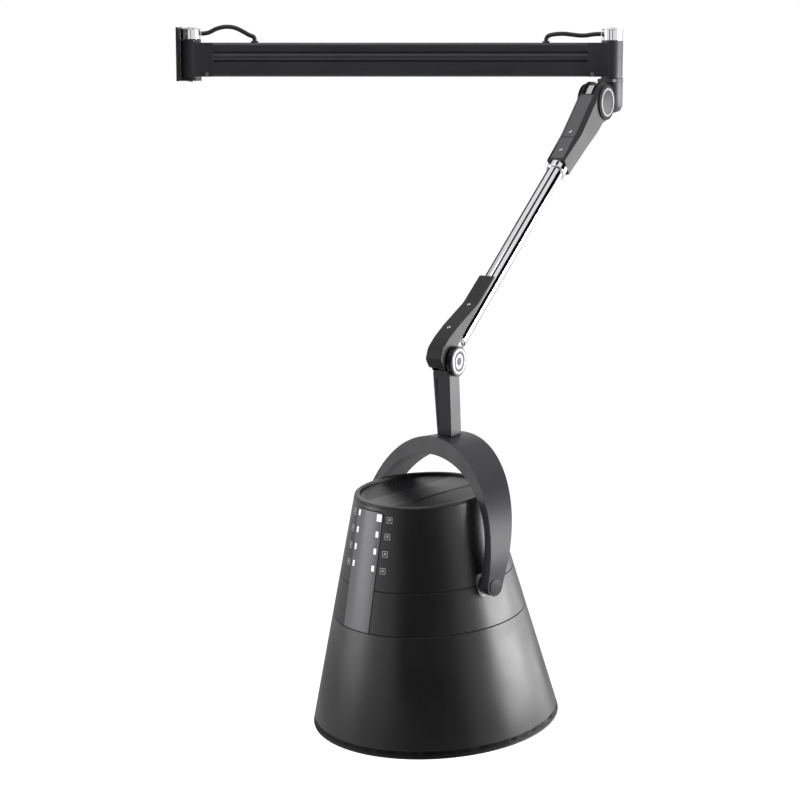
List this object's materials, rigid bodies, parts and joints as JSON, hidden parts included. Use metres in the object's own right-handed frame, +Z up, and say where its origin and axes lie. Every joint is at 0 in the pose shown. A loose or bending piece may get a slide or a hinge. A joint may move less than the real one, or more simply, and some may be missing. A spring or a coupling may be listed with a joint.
{
  "type": "hair color processor",
  "caption": "Wall-hung hair color processor: heated conical hood in a yoke, on a swinging beam and a spring-balanced arm.",
  "frame": {"origin": "centre of the wall plate's back face, at the height of the beam's centre", "axes": "+X along the beam away from the wall, +Z up, the arm reaches towards -Y"},
  "size_m": [0.7743, 0.7357, 1.0939],
  "materials": {
    "black_powder_coat": "satin",
    "black_plastic": "satin",
    "grey_plastic": "satin",
    "chrome": "polished",
    "steel": "brushed",
    "cast_alloy": "cast",
    "bronze": "machined",
    "black_rubber": "matt",
    "inner_plastic": "matt",
    "panel_gloss": "glossy",
    "window_white": "lit",
    "board_green": "matt",
    "liner_alloy": "satin",
    "heater_glass": "clear",
    "holder_ceramic": "matt",
    "motor_steel": "plain"
  },
  "bodies": {
    "wall": {"wall_plate": "black_powder_coat", "wall_washer": "bronze"},
    "beam": {"wall_pin": "steel", "casting_left": "black_powder_coat", "casting_right": "black_powder_coat", "beam_tube": "black_powder_coat", "column_caps": "chrome", "column_bush": "bronze", "casting_screws": "steel", "cables": "black_rubber", "grommets": "black_rubber"},
    "swivel": {"swivel_stem": "steel", "stem_nut": "steel", "swivel_collar": "black_powder_coat", "shoulder_bracket": "black_powder_coat", "shoulder_link_pin": "steel"},
    "arm": {"shoulder_shell_left": "grey_plastic", "shoulder_shell_right": "grey_plastic", "shoulder_covers": "black_plastic", "shoulder_screws": "chrome", "shoulder_pin": "steel", "pivot_covers": "black_plastic", "pivot_rings": "chrome", "ferrule": "chrome", "arm_sleeve": "steel", "arm_tube": "chrome", "balance_spring": "steel", "spring_seats": "inner_plastic", "elbow_fork": "cast_alloy", "elbow_cover": "black_plastic", "elbow_screws": "chrome", "elbow_pin": "steel", "elbow_cap": "black_plastic"},
    "rod": {"leveling_rod": "steel"},
    "neck": {"neck_post": "black_powder_coat", "neck_link_pin": "steel"},
    "knob": {"elbow_knob": "black_plastic", "elbow_knob_face": "chrome"},
    "yoke": {"yoke": "black_powder_coat", "yoke_stem": "steel", "yoke_caps": "black_plastic"},
    "hood": {"hood_rim": "black_plastic", "hood_lower": "black_plastic", "hood_middle": "black_plastic", "hood_upper": "black_plastic", "top_rim": "black_plastic", "top_band": "black_plastic", "vent_grilles": "black_plastic", "control_panel": "panel_gloss", "indicator_windows": "window_white", "circuit_board": "board_green", "pivot_bosses": "steel", "pivot_pins": "steel", "hood_liner": "liner_alloy", "heater_tubes": "heater_glass", "heater_holders": "holder_ceramic", "fan_guard": "steel", "fan_duct": "inner_plastic", "fan_motor": "motor_steel"},
    "fan": {"fan_rotor": "inner_plastic"}
  },
  "joints": [
    {"name": "wall_swivel", "type": "hinge", "parent": "wall", "child": "beam", "pos_m": [0.022, 0, 0], "axis": [0, 0, 1], "range_deg": [-80, 80]},
    {"name": "beam_swivel", "type": "hinge", "parent": "beam", "child": "swivel", "pos_m": [0.7543, 0, 0], "axis": [0, 0, 1], "range_deg": [-43, 286]},
    {"name": "arm_pitch", "type": "hinge", "parent": "swivel", "child": "arm", "pos_m": [0.723, -0.05189, -0.0697], "axis": [0.8563, -0.5165, 0], "range_deg": [-34, 18]},
    {"name": "link_pitch", "type": "hinge", "parent": "swivel", "child": "rod", "pos_m": [0.72091, -0.05535, -0.06222], "axis": [0.8563, -0.5165, 0], "range_deg": [-34, 18]},
    {"name": "elbow_level", "type": "hinge", "parent": "arm", "child": "neck", "pos_m": [0.45629, -0.49401, -0.45038], "axis": [0.8563, -0.5165, 0], "range_deg": [-18, 34]},
    {"name": "knob_turn", "type": "hinge", "parent": "arm", "child": "knob", "pos_m": [0.45629, -0.49401, -0.45038], "axis": [0.8563, -0.5165, 0], "range_deg": [-180, 180]},
    {"name": "yoke_swivel", "type": "hinge", "parent": "neck", "child": "yoke", "pos_m": [0.46208, -0.48442, -0.56938], "axis": [0, 0, 1], "range_deg": [-165, 165]},
    {"name": "hood_tilt", "type": "hinge", "parent": "yoke", "child": "hood", "pos_m": [0.42732, -0.51379, -0.77508], "axis": [0.6455, -0.7638, 0], "range_deg": [-35, 35]},
    {"name": "fan_spin", "type": "hinge", "parent": "hood", "child": "fan", "pos_m": [0.44249, -0.50098, -1.01656], "axis": [-0.0626, -0.0529, 0.9966], "continuous": true}
  ],
  "couplings": [
    {"joint": "elbow_level", "follows": "arm_pitch", "ratio": -1},
    {"joint": "link_pitch", "follows": "arm_pitch", "ratio": 1}
  ]
}
